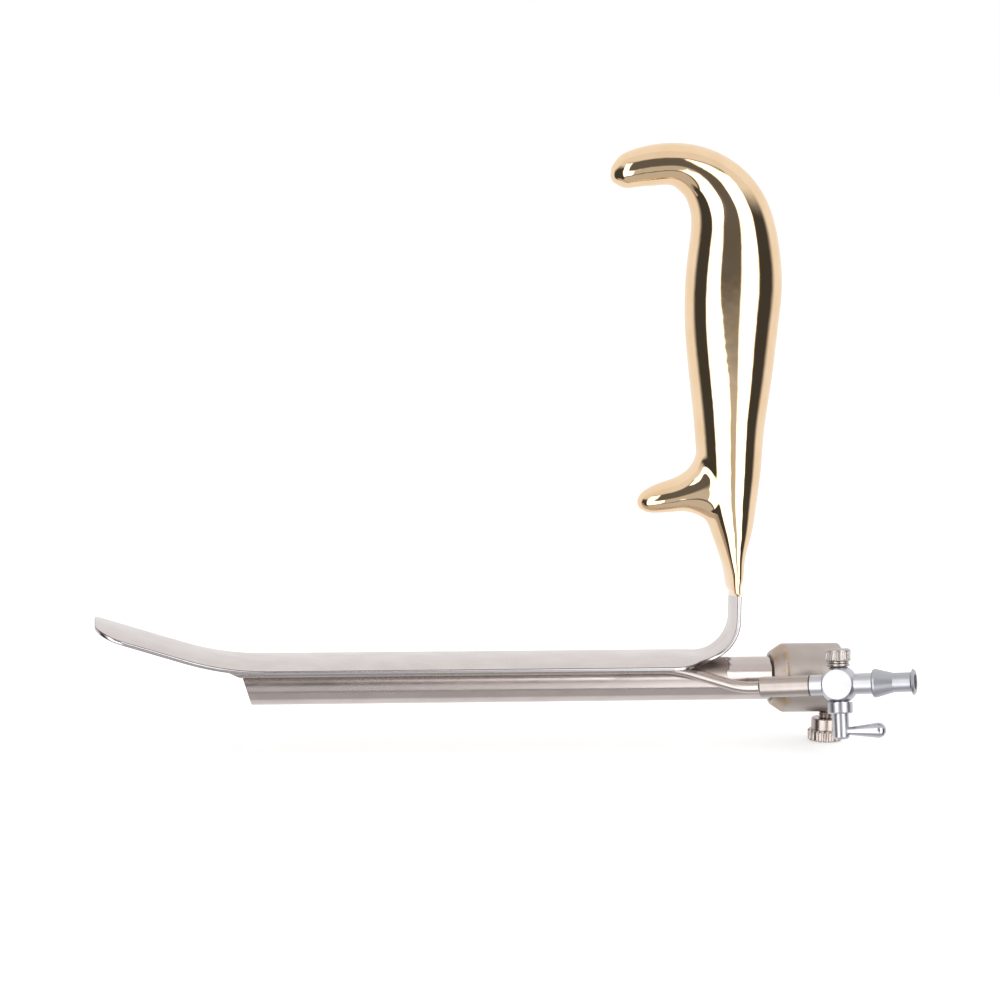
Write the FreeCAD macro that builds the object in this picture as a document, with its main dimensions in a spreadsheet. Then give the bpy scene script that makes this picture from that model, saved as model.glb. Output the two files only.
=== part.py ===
# Endoscopic retractor: an arched blade on a cast palm handle, with a channel for a rigid
# endoscope under the blade, a locking thumb screw, and a smoke suction line with a stopcock.
# Millimetres. The origin is the centre of the scope socket's rear mouth, +X leads backward out
# of the socket, +Z leads up towards the handle, and the stopcock is on the -Y side.
import FreeCAD
import Part

import math
import os

import Sketcher
from FreeCAD import Placement, Rotation, Vector

DRIVING_SIZES = [
    ("channel_outer_radius", 6.0, "tube for a 10 mm endoscope"),
    ("channel_bore_radius", 5.2, "bore of the endoscope tube"),
    ("channel_reach", 166.2, "socket mouth to the middle of the tube's bevelled front"),
    ("channel_bevel", 18.0, "lean of the bevelled front in degrees"),
    ("braze_gap", 0.02, "gap between pieces that are brazed together"),
    ("socket_radius", 9.6, "outer radius of the scope socket"),
    ("socket_length", 19.7, "length of the scope socket"),
    ("socket_bore_radius", 7.0, "bore that takes the endoscope's collar"),
    ("socket_bore_depth", 14.0, "depth of that bore"),
    ("socket_nose_radius", 7.4, "front end of the socket's shoulder"),
    ("socket_nose_length", 3.3, "length of the shoulder"),
    ("socket_rim_round", 0.9, "rounding of the rear rim"),
    ("blade_width", 28.0, "width of the blade"),
    ("blade_thickness", 1.2, "sheet thickness of the blade"),
    ("blade_arch_radius", 68.4, "cross arch of the blade, at its underside"),
    ("blade_edge_round", 0.45, "rounding of the blade's edges"),
    ("tip_curve_start", 160.4, "socket mouth to the start of the tip's curve"),
    ("tip_curve_radius", 75.0, "radius of the tip's upward curve"),
    ("tip_curve_angle", 17.1, "turn of the tip's curve in degrees"),
    ("tip_length", 26.3, "straight run after the tip's curve"),
    ("tip_corner_radius", 7.5, "corner radius of the tip, seen from above"),
    ("bend_radius", 10.0, "inner radius of the bend from blade to tang"),
    ("tang_distance", 30.45, "socket mouth to the middle of the tang"),
    ("tang_width", 14.0, "width of the tang"),
    ("tang_top", 47.0, "height of the tang's end inside the handle"),
    ("taper_start", 49.0, "where the blade starts to narrow to the tang"),
    ("taper_end", 35.0, "where it has the tang's width"),
    ("handle_base", 24.2, "height of the handle's lower end"),
    ("handle_base_wall", 0.35, "step from the tang to the handle's lower end"),
    ("tongue_width", 10.0, "tang where it is narrowed inside the handle"),
    ("grip_width", 22.0, "width of the grip across its palm"),
    ("trigger_width", 12.0, "width of the finger rest"),
    ("trigger_round", 4.0, "fillet where the finger rest meets the grip"),
    ("slot_gap", 0.03, "gap between the tang's tongue and its slot"),
    ("suction_radius", 1.55, "outer radius of the suction tube"),
    ("suction_bore_radius", 1.15, "bore of the suction tube"),
    ("suction_reach", 173.5, "socket mouth to the tip of the suction tube"),
    ("suction_bevel", 27.0, "bevel of the suction tube's tip in degrees"),
    ("suction_bend_start", 47.5, "socket mouth to the line's outward bend"),
    ("suction_bend_radius", 20.0, "radius of the line's bends"),
    ("suction_lead", 5.0, "straight run of the line in front of the sleeve"),
    ("hub_back", 5.65, "stopcock hub in front of the socket mouth"),
    ("hub_aside", 25.0, "stopcock hub beside the channel axis"),
    ("hub_up", 2.75, "stopcock hub above the channel axis"),
    ("stopcock_yaw", 24.0, "outward turn of the stopcock in degrees"),
    ("stopcock_pitch", 6.0, "upward tilt of the stopcock in degrees"),
    ("stopcock_roll", 10.0, "turn of the stopcock about its flow in degrees"),
    ("hub_radius", 5.3, "ball of the stopcock hub"),
    ("hub_flat", 3.4, "hub centre to its front and rear flats"),
    ("hub_seat", 4.8, "hub centre to its upper and lower seats"),
    ("neck_radius", 2.85, "necks on both sides of the hub"),
    ("flow_radius", 1.1, "flow passage of the stopcock"),
    ("inlet_reach", 7.8, "hub centre to the sleeve"),
    ("spigot_radius", 2.0, "spigot inside the sleeve"),
    ("spigot_length", 4.2, "length of that spigot"),
    ("sleeve_radius", 2.85, "outer radius of the suction sleeve"),
    ("sleeve_length", 14.4, "length of the suction sleeve"),
    ("sleeve_round", 0.8, "rounding of the sleeve's front end"),
    ("tube_insertion", 9.8, "depth of the suction tube in the sleeve"),
    ("outlet_reach", 9.35, "hub centre to the outlet connector"),
    ("thread_radius", 1.9, "outlet spigot in the connector"),
    ("thread_length", 3.6, "length of that spigot"),
    ("connector_radius", 3.9, "large end of the connector"),
    ("connector_land", 0.9, "cylinder at its large end"),
    ("connector_cone", 4.8, "length of its taper"),
    ("connector_waist_radius", 2.65, "slim part of the connector"),
    ("connector_waist", 4.8, "length of the slim part"),
    ("luer_flange_radius", 3.65, "flange at the open end"),
    ("luer_flange_width", 1.1, "thickness of the flange"),
    ("luer_bore_radius", 2.1, "mouth of the female cone"),
    ("luer_bore_depth", 7.0, "depth of the female cone"),
    ("luer_taper", 0.06, "taper of the cone on its diameter"),
    ("plug_radius", 2.1, "tap plug at the middle of the hub"),
    ("plug_taper", 0.1, "taper of the tap plug on its diameter"),
    ("plug_gap", 0.04, "radial clearance of the tap plug"),
    ("seat_gap", 0.05, "clearance at the hub's two seats"),
    ("collar_radius", 3.43, "collar of the tap key"),
    ("collar_height", 3.1, "height of the collar"),
    ("collar_chamfer", 0.35, "chamfer at the collar's lower edge"),
    ("stem_radius", 2.23, "stem of the tap key"),
    ("stem_length", 6.9, "length of the stem below the collar"),
    ("stem_chamfer", 0.5, "chamfer at the stem's lower end"),
    ("stud_radius", 1.2, "stud above the plug"),
    ("stud_length", 4.6, "length of the stud above the upper seat"),
    ("lever_drop", 4.8, "collar to the lever's axis"),
    ("lever_reach", 12.4, "tap axis to the lever's end"),
    ("lever_root_radius", 1.05, "lever at the stem"),
    ("lever_end_radius", 2.1, "ball end of the lever"),
    ("lever_tang_radius", 0.8, "lever's tang inside the stem"),
    ("lever_tang_length", 1.6, "length of that tang"),
    ("washer_radius", 3.5, "tap washer"),
    ("washer_thickness", 0.55, "thickness of the tap washer"),
    ("spring_height", 0.9, "height of the cone spring"),
    ("spring_radius", 3.2, "outer radius of the cone spring"),
    ("spring_thickness", 0.35, "sheet of the cone spring"),
    ("nut_radius", 3.5, "knurled nut"),
    ("nut_height", 3.5, "height of the knurled nut"),
    ("nut_round", 0.8, "rounding of the nut's top edge"),
    ("nut_knurls", 24, "grooves round the nut"),
    ("nut_knurl_depth", 0.28, "depth of these grooves"),
    ("lock_distance", 3.5, "socket mouth to the thumb screw's axis"),
    ("lock_thread_radius", 2.0, "M4 shank of the thumb screw"),
    ("lock_thread_gap", 0.05, "clearance of that shank in the socket"),
    ("lock_backset", 0.65, "screw's end behind the wall of the bore"),
    ("lock_opening", 1.85, "space between the socket and the screw's collar"),
    ("lock_collar_radius", 3.95, "collar of the thumb screw"),
    ("lock_collar_height", 3.2, "height of that collar"),
    ("lock_head_radius", 4.95, "knurled head of the thumb screw"),
    ("lock_head_height", 3.1, "height of that head"),
    ("lock_head_chamfer", 0.45, "chamfer of the head's edges"),
    ("lock_knurls", 22, "grooves round the head"),
    ("lock_knurl_depth", 0.42, "depth of these grooves"),
    ("pad_radius", 1.55, "pressure pad at the screw's end"),
    ("pad_thickness", 0.55, "thickness of the pressure pad"),
    ("pad_pin_radius", 0.7, "pin of the pad inside the screw"),
    ("pad_pin_length", 1.4, "length of that pin"),
    ("pad_gap", 0.05, "running clearance of the pad"),
]

# Sections of the grip from its lower end to the end of the palm hook: forward of the tang's
# middle, above the handle's base, lean of the section in degrees, half depth, share of the grip's
# width, and squareness, where 2 is an ellipse.
GRIP_SECTIONS = [
    (0.30, 3.5, 0.0, 1.95, 0.68, 2.5),
    (0.50, 7.5, 0.0, 2.80, 0.70, 2.3),
    (0.95, 14.3, 2.0, 4.75, 0.74, 2.1),
    (1.45, 21.0, 3.0, 6.7, 0.79, 2.0),
    (1.95, 28.6, 3.0, 8.1, 0.84, 2.0),
    (2.20, 38.8, 1.0, 9.15, 0.90, 2.0),
    (2.35, 50.0, 0.0, 10.2, 0.95, 2.0),
    (2.35, 63.3, 0.0, 11.9, 0.99, 2.0),
    (2.30, 76.6, 0.0, 13.15, 1.0, 2.0),
    (2.00, 87.5, 0.0, 13.4, 1.0, 2.0),
    (2.15, 96.3, 1.0, 12.5, 0.98, 2.0),
    (2.85, 103.6, 4.0, 11.35, 0.95, 2.0),
    (5.95, 111.1, 15.0, 9.9, 0.89, 2.0),
    (9.10, 114.4, 30.0, 8.6, 0.83, 2.0),
    (15.75, 117.9, 60.0, 6.6, 0.74, 2.0),
    (22.30, 118.45, 86.0, 5.8, 0.67, 2.0),
    (28.45, 117.6, 95.0, 5.4, 0.60, 2.0),
    (32.20, 116.65, 97.0, 4.95, 0.54, 2.0),
    (34.55, 116.0, 97.0, 3.85, 0.42, 2.0),
    (35.95, 115.6, 95.0, 2.55, 0.29, 2.0),
    (36.65, 115.35, 92.0, 1.3, 0.16, 2.0),
]
GRIP_END = (36.9, 115.2)

# Sections of the finger rest from its root in the grip to its end, as above, with the width as
# a share of the finger rest's own.
TRIGGER_SECTIONS = [
    (4.20, 28.8, 97.0, 12.2, 1.18, 2.0),
    (7.60, 28.9, 97.0, 11.7, 1.16, 2.0),
    (10.30, 29.8, 97.0, 8.90, 1.12, 2.0),
    (12.40, 29.0, 93.0, 6.70, 1.08, 2.0),
    (15.05, 28.2, 90.0, 5.30, 1.03, 2.0),
    (18.05, 27.35, 90.0, 4.65, 1.00, 2.0),
    (21.35, 26.7, 90.0, 4.20, 0.93, 2.0),
    (24.15, 26.1, 90.0, 3.60, 0.80, 2.0),
    (25.70, 25.85, 90.0, 2.95, 0.66, 2.0),
    (26.80, 25.65, 90.0, 2.15, 0.49, 2.0),
    (27.50, 25.5, 90.0, 1.20, 0.28, 2.0),
]
TRIGGER_END = (27.75, 25.4)

SECTION_POINTS = 12
SECTION_DEGREE = 3
BASE_SQUARENESS = 3.6
BLADE_TRIM = 4.0
TANG_CROWN = Vector(-1.0, 0.0, 0.0)
CUT_MARGIN = 30.0
PARTS_FOLDER = "parts"

doc = FreeCAD.newDocument("endoscopic_retractor")
sheet = doc.addObject("Spreadsheet::Sheet", "Sizes")


def fill_sheet():
    for row, (alias, value, meaning) in enumerate(DRIVING_SIZES, start=1):
        sheet.set("A%d" % row, meaning)
        sheet.set("B%d" % row, str(value))
        sheet.setAlias("B%d" % row, alias)
    doc.recompute()


def size(alias):
    return float(sheet.get(alias))


def bind(piece, **expressions):
    """Ties properties of a piece to expressions over the sheet's sizes."""
    for name, expression in expressions.items():
        piece.setExpression(name, expression)


def stopcock_frame():
    """Placement of the stopcock: its X runs along the flow, its Z along the tap."""
    turn = Rotation(-size("stopcock_yaw"), -size("stopcock_pitch"), -size("stopcock_roll"))
    base = Vector(-size("hub_back"), -size("hub_aside"), size("hub_up"))
    return Placement(base, turn)


def lock_frame():
    """Placement of the thumb screw: its Z points up to the channel from the socket's axis."""
    return Placement(Vector(-size("lock_distance"), 0.0, 0.0), Rotation())


# Sketches and features

def origin_feature(body, role):
    for feature in body.Origin.OriginFeatures:
        if feature.Role == role:
            return feature
    raise ValueError("no origin feature " + role)


def new_body(label):
    body = doc.addObject("PartDesign::Body", label)
    body.Label = label
    return body


def new_sketch(body, name, plane):
    sketch = body.newObject("Sketcher::SketchObject", name)
    sketch.AttachmentSupport = [(origin_feature(body, plane), "")]
    sketch.MapMode = "FlatFace"
    return sketch


def dimension(sketch, kind, geometry, point, expression):
    """A distance from the sketch's origin, or a radius, tied to an expression."""
    if kind == "Radius":
        constraint = Sketcher.Constraint("Radius", geometry, 1.0)
    else:
        constraint = Sketcher.Constraint(kind, -1, 1, geometry, point, 1.0)
    index = sketch.addConstraint(constraint)
    sketch.setExpression("Constraints[%d]" % index, expression)


def polygon_sketch(body, name, plane, corners):
    """A closed outline of straight lines with a pair of expressions for each corner."""
    sketch = new_sketch(body, name, plane)
    count = len(corners)
    for index in range(count):
        first = 2.0 * math.pi * index / count
        second = 2.0 * math.pi * (index + 1) / count
        start = Vector(math.cos(first), math.sin(first), 0.0)
        end = Vector(math.cos(second), math.sin(second), 0.0)
        sketch.addGeometry(Part.LineSegment(start, end), False)
    for index in range(count):
        follower = (index + 1) % count
        sketch.addConstraint(Sketcher.Constraint("Coincident", index, 2, follower, 1))
    for index, (across, up) in enumerate(corners):
        dimension(sketch, "DistanceX", index, 1, across)
        dimension(sketch, "DistanceY", index, 1, up)
    return sketch


def circle_sketch(body, name, plane, across, up, radius):
    sketch = new_sketch(body, name, plane)
    sketch.addGeometry(Part.Circle(Vector(0.5, 0.5, 0.0), Vector(0.0, 0.0, 1.0), 1.0), False)
    dimension(sketch, "DistanceX", 0, 3, across)
    dimension(sketch, "DistanceY", 0, 3, up)
    dimension(sketch, "Radius", 0, 0, radius)
    return sketch


def revolve(body, name, sketch, axis):
    feature = body.newObject("PartDesign::Revolution", name)
    feature.Profile = sketch
    feature.ReferenceAxis = (sketch, [axis])
    feature.Angle = 360.0
    sketch.Visibility = False
    doc.recompute()
    return feature


def cut_through(body, name, sketch, length, midplane=True, backward=False):
    """A pocket of the given length expression, which has to take material away."""
    before = body.Shape.Volume
    pocket = body.newObject("PartDesign::Pocket", name)
    pocket.Profile = sketch
    pocket.Midplane = midplane
    pocket.Reversed = backward
    bind(pocket, Length=length)
    sketch.Visibility = False
    doc.recompute()
    if body.Shape.Volume >= before:
        raise ValueError(name + " takes nothing away")
    return pocket


def repeat_round(body, name, feature, axis, count):
    """Copies of a feature evenly round one of the body's axes."""
    pattern = body.newObject("PartDesign::PolarPattern", name)
    pattern.Originals = [feature]
    pattern.Axis = (origin_feature(body, axis), [""])
    pattern.Angle = 360.0
    bind(pattern, Occurrences=count)
    body.Tip = pattern
    doc.recompute()
    return pattern


def ring_edges(feature, radius, along, position):
    """Names of the circular edges with a radius at a position along one axis."""
    names = []
    for index, edge in enumerate(feature.Shape.Edges, start=1):
        if not isinstance(edge.Curve, Part.Circle):
            continue
        if abs(edge.Curve.Radius - radius) > 0.01:
            continue
        if abs(edge.Curve.Center.dot(along) - position) < 0.01:
            names.append("Edge%d" % index)
    return names


def soften(body, name, feature, kind, edges, amount):
    """A fillet or chamfer on named edges of a feature."""
    if not edges:
        raise ValueError(name + " has no edges")
    piece = body.newObject("PartDesign::" + kind, name)
    piece.Base = (feature, edges)
    if kind == "Fillet":
        bind(piece, Radius=amount)
    else:
        bind(piece, Size=amount)
    doc.recompute()
    return piece


def solid_piece(label, shape, placement=None):
    """A piece whose shape is worked out in this script."""
    piece = doc.addObject("Part::Feature", label)
    piece.Label = label
    piece.Shape = shape
    if placement is not None:
        piece.Placement = placement
    return piece


def cylinder(name, radius, height, placement):
    piece = doc.addObject("Part::Cylinder", name)
    bind(piece, Radius=radius, Height=height)
    piece.Placement = placement
    return piece


def along_x(start):
    """Placement that lays a cylinder along +X from a start on the X axis."""
    return Placement(Vector(start, 0.0, 0.0), Rotation(Vector(0.0, 1.0, 0.0), 90.0))


# Blade

def arc_through(start, centre, end):
    """The shorter arc from a start to an end about their common centre."""
    middle = ((start - centre) + (end - centre)).normalize() * (start - centre).Length
    return Part.Arc(start, centre + middle, end)


def blade_spine():
    """Middle line of the sheet from the tang's top down, forward and up along the tip."""
    half = size("blade_thickness") / 2.0
    level = size("channel_outer_radius") + half
    bend = size("bend_radius") + half
    curve = size("tip_curve_radius")
    turn = math.radians(size("tip_curve_angle"))
    tang_x = -size("tang_distance")
    top = Vector(tang_x, 0.0, size("tang_top"))
    bend_centre = Vector(tang_x - bend, 0.0, level + bend)
    bend_top = bend_centre + Vector(bend, 0.0, 0.0)
    bend_foot = bend_centre - Vector(0.0, 0.0, bend)
    curve_start = Vector(-size("tip_curve_start"), 0.0, level)
    curve_centre = curve_start + Vector(0.0, 0.0, curve)
    curve_end = curve_centre - Vector(math.sin(turn), 0.0, math.cos(turn)) * curve
    tip = curve_end + Vector(-math.cos(turn), 0.0, math.sin(turn)) * size("tip_length")
    edges = [
        Part.LineSegment(top, bend_top),
        arc_through(bend_top, bend_centre, bend_foot),
        Part.LineSegment(bend_foot, curve_start),
        arc_through(curve_start, curve_centre, curve_end),
        Part.LineSegment(curve_end, tip),
    ]
    return Part.Wire([edge.toShape() for edge in edges])


def arched_section(middle, crown, half_width, slack=0.0):
    """Arched section of the sheet, grown by a slack, with its crown in a given direction."""
    inner = size("blade_arch_radius") - slack
    outer = size("blade_arch_radius") + size("blade_thickness") + slack
    centre = middle - crown * ((inner + outer) / 2.0)
    reach = math.asin(half_width / inner)

    def on_arch(radius, angle):
        return centre + (crown * math.cos(angle) + Vector(0.0, math.sin(angle), 0.0)) * radius

    edges = [
        Part.Arc(on_arch(inner, -reach), on_arch(inner, 0.0), on_arch(inner, reach)),
        Part.LineSegment(on_arch(inner, reach), on_arch(outer, reach)),
        Part.Arc(on_arch(outer, reach), on_arch(outer, 0.0), on_arch(outer, -reach)),
        Part.LineSegment(on_arch(outer, -reach), on_arch(inner, -reach)),
    ]
    return Part.Wire([edge.toShape() for edge in edges])


def blade_plan(tip_x):
    """Outline of the blade from above: round tip corners and a smooth taper to the tang."""
    wide = size("blade_width") / 2.0
    slim = size("tang_width") / 2.0
    start = -size("taper_start")
    end = -size("taper_end")
    back = -size("tang_distance") + size("blade_thickness")
    middle = Vector((start + end) / 2.0, (wide + slim) / 2.0, 0.0)
    length = end - start
    drop = wide - slim
    sweep_radius = (length ** 2 + drop ** 2) / (4.0 * drop)
    half_turn = math.asin(length / 2.0 / sweep_radius) / 2.0
    corner = size("tip_corner_radius")
    corner_middle = corner * (1.0 - math.cos(math.pi / 4.0))

    def sweep(centre, sign):
        reach = Vector(math.sin(half_turn), math.cos(half_turn) * sign, 0.0)
        return centre + Vector(reach.x * sign, reach.y, 0.0) * sweep_radius

    first = sweep(Vector(start, wide - sweep_radius, 0.0), 1.0)
    second = sweep(Vector(end, slim + sweep_radius, 0.0), -1.0)
    edges = [
        Part.Arc(Vector(tip_x, wide - corner, 0.0),
                 Vector(tip_x + corner_middle, wide - corner_middle, 0.0),
                 Vector(tip_x + corner, wide, 0.0)),
        Part.LineSegment(Vector(tip_x + corner, wide, 0.0), Vector(start, wide, 0.0)),
        Part.Arc(Vector(start, wide, 0.0), first, middle),
        Part.Arc(middle, second, Vector(end, slim, 0.0)),
        Part.LineSegment(Vector(end, slim, 0.0), Vector(back, slim, 0.0)),
    ]
    upper = [edge.toShape() for edge in edges]
    lower = [edge.mirror(Vector(), Vector(0.0, 1.0, 0.0)) for edge in upper]
    ends = [
        Part.LineSegment(Vector(back, slim, 0.0), Vector(back, -slim, 0.0)).toShape(),
        Part.LineSegment(Vector(tip_x, corner - wide, 0.0),
                         Vector(tip_x, wide - corner, 0.0)).toShape(),
    ]
    return Part.Wire(Part.__sortEdges__(upper + ends + lower))


def is_upright(face):
    low_u, high_u, low_v, high_v = face.ParameterRange
    normal = face.normalAt((low_u + high_u) / 2.0, (low_v + high_v) / 2.0)
    return abs(normal.z) < 1e-6


def rim_edges(blade):
    """Edges between the blade's trimmed rim and its two broad sides."""
    edges = []
    top = size("tang_top")
    rim = [face for face in blade.Faces if is_upright(face)]
    for edge in blade.Edges:
        sides = [face for face in rim if any(edge.isSame(other) for other in face.Edges)]
        at_top = all(abs(vertex.Point.z - top) < 0.001 for vertex in edge.Vertexes)
        if len(sides) == 1 and not at_top:
            edges.append(edge)
    return edges


def make_blade():
    """One arched strip swept along the whole blade, then trimmed to its outline from above.

    Inside the handle the tang is narrowed to a tongue, and the handle rests on its shoulders.
    """
    spine = blade_spine()
    top = spine.Vertexes[0].Point
    tip = spine.Vertexes[-1].Point
    section = arched_section(top, TANG_CROWN, size("blade_width") / 2.0 + BLADE_TRIM)
    strip = spine.makePipeShell([section], True, False)
    plan = Part.Face(blade_plan(tip.x + size("blade_thickness") / 2.0))
    trim = plan.extrude(Vector(0.0, 0.0, top.z + CUT_MARGIN))
    blade = strip.common(trim).Solids[0]
    rounded = blade.makeFillet(size("blade_edge_round"), rim_edges(blade))
    shoulder = Vector(top.x - CUT_MARGIN / 2.0, size("tongue_width") / 2.0,
                      size("handle_base") - size("braze_gap"))
    side = Part.makeBox(CUT_MARGIN, CUT_MARGIN, CUT_MARGIN, shoulder)
    other_side = side.mirror(Vector(), Vector(0.0, 1.0, 0.0))
    return solid_piece("blade", rounded.cut([side, other_side]).Solids[0])


# Handle

def oval_wire(station, origin, width):
    """A closed smooth section of the handle, set by one row of a table of sections."""
    forward, above, lean, half_depth, share, squareness = station
    centre = origin + Vector(-forward, 0.0, above)
    angle = math.radians(lean)
    depth = Vector(math.cos(angle), 0.0, math.sin(angle)) * half_depth
    across = Vector(0.0, width * share / 2.0, 0.0)
    power = 2.0 / squareness
    points = []
    for index in range(SECTION_POINTS):
        turn = 2.0 * math.pi * index / SECTION_POINTS
        cosine = math.cos(turn)
        sine = math.sin(turn)
        along = math.copysign(abs(cosine) ** power, cosine)
        aside = math.copysign(abs(sine) ** power, sine)
        points.append(centre + depth * along + across * aside)
    steps = [index / SECTION_POINTS for index in range(SECTION_POINTS + 1)]
    curve = Part.BSplineCurve()
    curve.interpolate(Points=points, PeriodicFlag=True, Parameters=steps)
    return Part.Wire(curve.toShape())


def base_section():
    """Lower end of the grip, which closes round the arched tang with an even wall."""
    wall = size("handle_base_wall")
    arch = size("blade_arch_radius")
    half_tang = size("tang_width") / 2.0
    droop = arch - math.sqrt(arch ** 2 - half_tang ** 2)
    half_depth = (size("blade_thickness") + droop) / 2.0 + wall
    share = 2.0 * (half_tang + wall) / size("grip_width")
    return (-droop / 2.0, 0.0, 0.0, half_depth, share, BASE_SQUARENESS)


def loft_to_point(sections, width, origin, end):
    """A smooth solid through a table of sections that closes in a point."""
    wires = [oval_wire(row, origin, width) for row in sections]
    point = Part.Vertex(origin + Vector(-end[0], 0.0, end[1]))
    return Part.makeLoft(wires + [point], True, False, False, SECTION_DEGREE)


def shared_edges(whole, first, second):
    """Edges of a fused solid that lie on both of the solids it was made from."""
    edges = []
    for edge in whole.Edges:
        if edge.Degenerated:
            continue
        low, high = edge.ParameterRange
        probe = Part.Vertex(edge.valueAt(low + (high - low) * 0.4))
        if max(probe.distToShape(side.Faces[0])[0] for side in (first, second)) < 0.001:
            edges.append(edge)
    return edges


def make_handle():
    origin = Vector(-size("tang_distance"), 0.0, size("handle_base"))
    grip_width = size("grip_width")
    grip = loft_to_point([base_section()] + GRIP_SECTIONS, grip_width, origin, GRIP_END)
    trigger = loft_to_point(TRIGGER_SECTIONS, size("trigger_width"), origin, TRIGGER_END)
    body = grip.fuse(trigger)
    body = body.makeFillet(size("trigger_round"), shared_edges(body, grip, trigger))
    gap = size("slot_gap")
    foot = Vector(origin.x, 0.0, size("handle_base") - CUT_MARGIN)
    height = size("tang_top") + gap - foot.z
    slot = Part.Face(arched_section(foot, TANG_CROWN, size("tongue_width") / 2.0 + gap, gap))
    return solid_piece("handle", body.cut(slot.extrude(Vector(0.0, 0.0, height))).Solids[0])


# Endoscope channel

def make_scope_tube():
    body = new_body("scope_tube")
    sketch = new_sketch(body, "tube_rings", "YZ_Plane")
    for index, radius in enumerate(("Sizes.channel_outer_radius", "Sizes.channel_bore_radius")):
        ring = Part.Circle(Vector(0.5, 0.5, 0.0), Vector(0.0, 0.0, 1.0), 2.0 - index)
        sketch.addGeometry(ring, False)
        sketch.addConstraint(Sketcher.Constraint("Coincident", index, 3, -1, 1))
        dimension(sketch, "Radius", index, 0, radius)
    pad = body.newObject("PartDesign::Pad", "tube_length")
    pad.Profile = sketch
    pad.Reversed = True
    bind(pad, Length="Sizes.channel_reach + Sizes.channel_outer_radius")
    sketch.Visibility = False
    doc.recompute()
    slope = "tan(Sizes.channel_bevel) * 2 * Sizes.channel_outer_radius"
    front = "0 - Sizes.channel_reach"
    far = "0 - Sizes.channel_reach - 4 * Sizes.channel_outer_radius"
    bevel = polygon_sketch(body, "front_bevel_outline", "XZ_Plane", [
        (front + " + " + slope, "-2 * Sizes.channel_outer_radius"),
        (front + " - " + slope, "2 * Sizes.channel_outer_radius"),
        (far, "2 * Sizes.channel_outer_radius"),
        (far, "-2 * Sizes.channel_outer_radius"),
    ])
    cut_through(body, "front_bevel", bevel, "4 * Sizes.channel_outer_radius")
    rear = polygon_sketch(body, "rear_end_outline", "XZ_Plane", [
        ("0 - Sizes.socket_bore_depth", "-2 * Sizes.channel_outer_radius"),
        ("2 * Sizes.channel_outer_radius", "-2 * Sizes.channel_outer_radius"),
        ("2 * Sizes.channel_outer_radius", "2 * Sizes.channel_outer_radius"),
        ("0 - Sizes.socket_bore_depth", "2 * Sizes.channel_outer_radius"),
    ])
    cut_through(body, "rear_end", rear, "4 * Sizes.channel_outer_radius")
    return body


def make_scope_socket():
    body = new_body("scope_socket")
    seat = "Sizes.channel_outer_radius + Sizes.braze_gap"
    front = "0 - Sizes.socket_length"
    step = "0 - Sizes.socket_bore_depth"
    shoulder = "Sizes.socket_nose_length - Sizes.socket_length"
    outline = polygon_sketch(body, "socket_outline", "XZ_Plane", [
        ("0", "Sizes.socket_bore_radius"),
        ("0", "Sizes.socket_radius"),
        (shoulder, "Sizes.socket_radius"),
        (front, "Sizes.socket_nose_radius"),
        (front, seat),
        (step, seat),
        (step, "Sizes.socket_bore_radius"),
    ])
    turned = revolve(body, "socket_turned", outline, "H_Axis")
    rim = ring_edges(turned, size("socket_radius"), Vector(1.0, 0.0, 0.0), 0.0)
    rounded = soften(body, "socket_rim", turned, "Fillet", rim, "Sizes.socket_rim_round")
    place = size("socket_nose_length") - size("socket_length")
    back = ring_edges(rounded, size("socket_radius"), Vector(1.0, 0.0, 0.0), place)
    soften(body, "socket_shoulder", rounded, "Fillet", back, "2 * Sizes.socket_rim_round")
    hole = circle_sketch(body, "lock_hole_outline", "XY_Plane", "0 - Sizes.lock_distance", "0",
                         "Sizes.lock_thread_radius + Sizes.lock_thread_gap")
    cut_through(body, "lock_hole", hole, "2 * Sizes.socket_radius", midplane=False)
    return body


# Thumb screw

def lock_levels():
    """Heights of the thumb screw's steps, from the pad's face down to the head's end."""
    face = -size("socket_bore_radius") - size("pad_gap")
    tip = -size("socket_bore_radius") - size("lock_backset")
    collar = -size("socket_radius") - size("lock_opening")
    head = collar - size("lock_collar_height")
    end = head - size("lock_head_height")
    return face, tip, collar, head, end


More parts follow.
